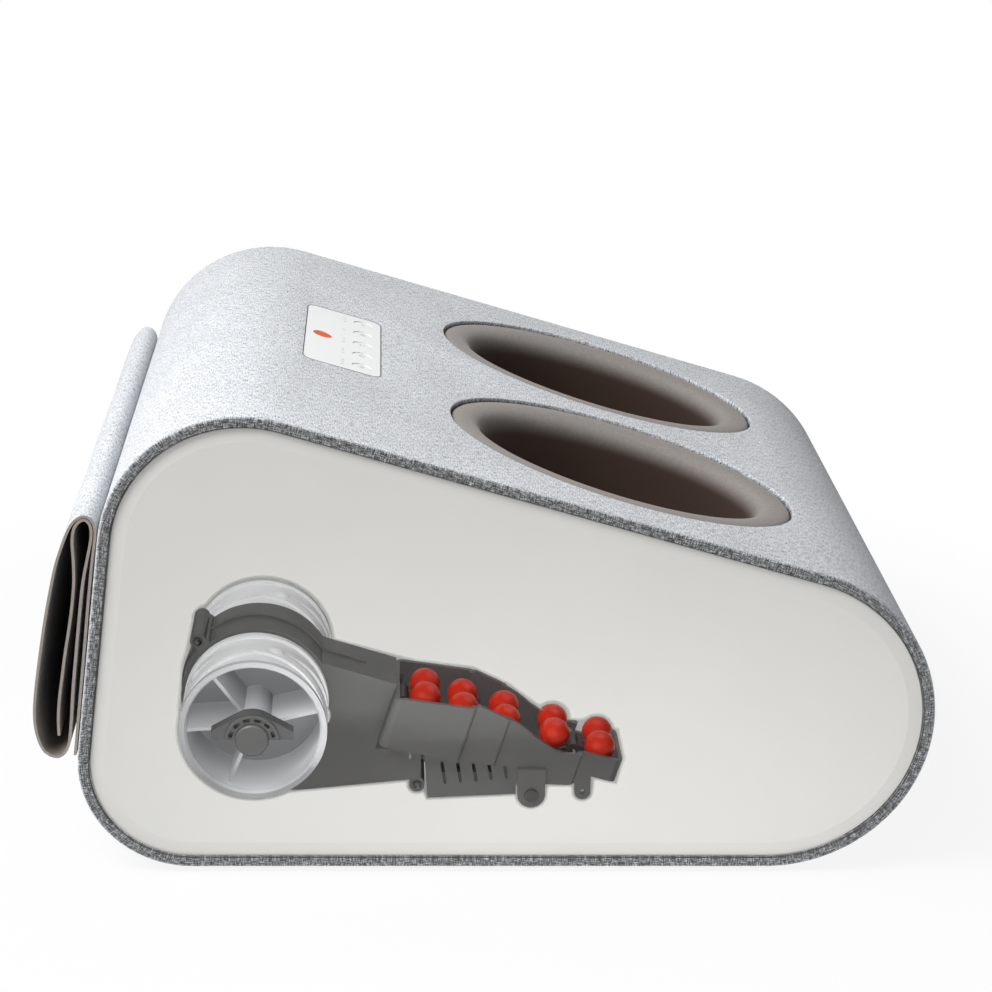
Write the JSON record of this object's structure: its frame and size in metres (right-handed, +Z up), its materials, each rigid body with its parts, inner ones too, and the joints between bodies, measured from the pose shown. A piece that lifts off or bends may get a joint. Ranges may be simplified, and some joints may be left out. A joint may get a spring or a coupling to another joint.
{
  "type": "shiatsu foot massager",
  "caption": "Fabric-wrapped wedge foot massager with two foot openings, a button panel, a folded cover at the toe end, banded rollers, worm gearing and rocking kneading nodes.",
  "frame": {"origin": "on the floor, under the middle of the whole outline, folded cover included", "axes": "+X from the toe end to the heel end, +Y across the body, +Z up"},
  "size_m": [0.495, 0.385, 0.2646],
  "materials": {
    "cover_shell": "satin",
    "heather_fabric": "woven",
    "base_fabric": "woven",
    "base_shell": "matt",
    "feet": "matt",
    "side_panel": "satin",
    "inlet": "glossy",
    "divider": "satin",
    "collar": "woven",
    "control_panel": "satin",
    "button": "satin",
    "power_button": "glossy",
    "lens": "glossy",
    "board": "satin",
    "cover_cloth": "woven",
    "steel": "machined",
    "drum": "satin",
    "mechanism": "satin",
    "gear": "satin",
    "motor_can": "satin",
    "rocker": "satin",
    "node": "satin"
  },
  "bodies": {
    "housing": {"top_cover": "cover_shell", "upper_fabric": "heather_fabric", "base_shell": "base_shell", "lower_fabric": "base_fabric", "rubber_feet": "feet", "side_panel_left": "side_panel", "side_panel_right": "side_panel", "power_inlet": "inlet", "centre_divider": "divider", "foot_collar_left": "collar", "foot_collar_right": "collar", "control_panel": "control_panel", "indicator_lenses": "lens", "button_board": "board", "pivot_pins": "steel", "bearing_caps_left": "mechanism", "gearcase_outer_left": "mechanism", "gearcase_inner_left": "mechanism", "motor_left": "motor_can", "motor_box_left": "mechanism", "node_tray_left": "mechanism", "rocker_pins_left": "steel", "bearing_caps_right": "mechanism", "gearcase_outer_right": "mechanism", "gearcase_inner_right": "mechanism", "motor_right": "motor_can", "motor_box_right": "mechanism", "node_tray_right": "mechanism", "rocker_pins_right": "steel"},
    "rollers_left": {"roller_axle_left": "steel", "roller_outer_left": "drum", "roller_inner_left": "drum", "worm_wheel_left": "gear"},
    "worm_left": {"worm_shaft_left": "steel"},
    "bar_left": {"drive_bar_left": "gear"},
    "rocker_front_left": {"rocker_front_left": "rocker", "kneading_nodes_front_left": "node"},
    "rocker_middle_left": {"rocker_middle_left": "rocker", "kneading_nodes_middle_left": "node"},
    "rocker_rear_left": {"rocker_rear_left": "rocker", "kneading_nodes_rear_left": "node"},
    "rollers_right": {"roller_axle_right": "steel", "roller_outer_right": "drum", "roller_inner_right": "drum", "worm_wheel_right": "gear"},
    "worm_right": {"worm_shaft_right": "steel"},
    "bar_right": {"drive_bar_right": "gear"},
    "rocker_front_right": {"rocker_front_right": "rocker", "kneading_nodes_front_right": "node"},
    "rocker_middle_right": {"rocker_middle_right": "rocker", "kneading_nodes_middle_right": "node"},
    "rocker_rear_right": {"rocker_rear_right": "rocker", "kneading_nodes_rear_right": "node"},
    "power_button": {"power_button": "power_button"},
    "function_button_1": {"function_button_1": "button"},
    "function_button_2": {"function_button_2": "button"},
    "function_button_3": {"function_button_3": "button"},
    "function_button_4": {"function_button_4": "button"},
    "function_button_5": {"function_button_5": "button"},
    "cover": {"fold_cover": "cover_cloth"}
  },
  "joints": [
    {"name": "roller_spin_left", "type": "hinge", "parent": "housing", "child": "rollers_left", "pos_m": [-0.12785, -0.105, 0.0755], "axis": [0, 1, 0], "continuous": true},
    {"name": "worm_spin_left", "type": "hinge", "parent": "housing", "child": "worm_left", "pos_m": [-0.12785, -0.105, 0.03], "axis": [1, 0, 0], "continuous": true},
    {"name": "bar_slide_left", "type": "slide", "parent": "housing", "child": "bar_left", "axis": [0.9578, 0, -0.2874], "range_m": [-0.00124, 0.00124]},
    {"name": "rocker_swing_front_left", "type": "hinge", "parent": "housing", "child": "rocker_front_left", "pos_m": [-0.0446, -0.105, 0.069], "axis": [0, 1, 0], "range_deg": [-9, 9]},
    {"name": "rocker_swing_middle_left", "type": "hinge", "parent": "housing", "child": "rocker_middle_left", "pos_m": [0.00063, -0.105, 0.05543], "axis": [0, 1, 0], "range_deg": [-9, 9]},
    {"name": "rocker_swing_rear_left", "type": "hinge", "parent": "housing", "child": "rocker_rear_left", "pos_m": [0.055, -0.105, 0.03912], "axis": [0, 1, 0], "range_deg": [-9, 9]},
    {"name": "roller_spin_right", "type": "hinge", "parent": "housing", "child": "rollers_right", "pos_m": [-0.12785, 0.105, 0.0755], "axis": [0, 1, 0], "continuous": true},
    {"name": "worm_spin_right", "type": "hinge", "parent": "housing", "child": "worm_right", "pos_m": [-0.12785, 0.105, 0.03], "axis": [1, 0, 0], "continuous": true},
    {"name": "bar_slide_right", "type": "slide", "parent": "housing", "child": "bar_right", "axis": [0.9578, 0, -0.2874], "range_m": [-0.00124, 0.00124]},
    {"name": "rocker_swing_front_right", "type": "hinge", "parent": "housing", "child": "rocker_front_right", "pos_m": [-0.0446, 0.105, 0.069], "axis": [0, 1, 0], "range_deg": [-9, 9]},
    {"name": "rocker_swing_middle_right", "type": "hinge", "parent": "housing", "child": "rocker_middle_right", "pos_m": [0.00063, 0.105, 0.05543], "axis": [0, 1, 0], "range_deg": [-9, 9]},
    {"name": "rocker_swing_rear_right", "type": "hinge", "parent": "housing", "child": "rocker_rear_right", "pos_m": [0.055, 0.105, 0.03912], "axis": [0, 1, 0], "range_deg": [-9, 9]},
    {"name": "power_button_press", "type": "slide", "parent": "housing", "child": "power_button", "axis": [-0.2745, 0, -0.9616], "range_m": [0, 0.001], "stiffness_N_per_m": 500, "springref_m": -0.001},
    {"name": "function_button_1_press", "type": "slide", "parent": "housing", "child": "function_button_1", "axis": [-0.2745, 0, -0.9616], "range_m": [0, 0.001], "stiffness_N_per_m": 500, "springref_m": -0.001},
    {"name": "function_button_2_press", "type": "slide", "parent": "housing", "child": "function_button_2", "axis": [-0.2745, 0, -0.9616], "range_m": [0, 0.001], "stiffness_N_per_m": 500, "springref_m": -0.001},
    {"name": "function_button_3_press", "type": "slide", "parent": "housing", "child": "function_button_3", "axis": [-0.2745, 0, -0.9616], "range_m": [0, 0.001], "stiffness_N_per_m": 500, "springref_m": -0.001},
    {"name": "function_button_4_press", "type": "slide", "parent": "housing", "child": "function_button_4", "axis": [-0.2745, 0, -0.9616], "range_m": [0, 0.001], "stiffness_N_per_m": 500, "springref_m": -0.001},
    {"name": "function_button_5_press", "type": "slide", "parent": "housing", "child": "function_button_5", "axis": [-0.2745, 0, -0.9616], "range_m": [0, 0.001], "stiffness_N_per_m": 500, "springref_m": -0.001},
    {"name": "cover_swing", "type": "hinge", "parent": "housing", "child": "cover", "pos_m": [-0.22253, 0, 0.06998], "axis": [0, -1, 0], "range_deg": [0, 70]}
  ],
  "couplings": [
    {"joint": "worm_spin_left", "follows": "roller_spin_left", "ratio": 40},
    {"joint": "rocker_swing_front_left", "follows": "bar_slide_left", "rad_per_m": -126.58},
    {"joint": "rocker_swing_middle_left", "follows": "bar_slide_left", "rad_per_m": -126.58},
    {"joint": "rocker_swing_rear_left", "follows": "bar_slide_left", "rad_per_m": -126.58},
    {"joint": "worm_spin_right", "follows": "roller_spin_right", "ratio": -40},
    {"joint": "rocker_swing_front_right", "follows": "bar_slide_right", "rad_per_m": -126.58},
    {"joint": "rocker_swing_middle_right", "follows": "bar_slide_right", "rad_per_m": -126.58},
    {"joint": "rocker_swing_rear_right", "follows": "bar_slide_right", "rad_per_m": -126.58}
  ]
}
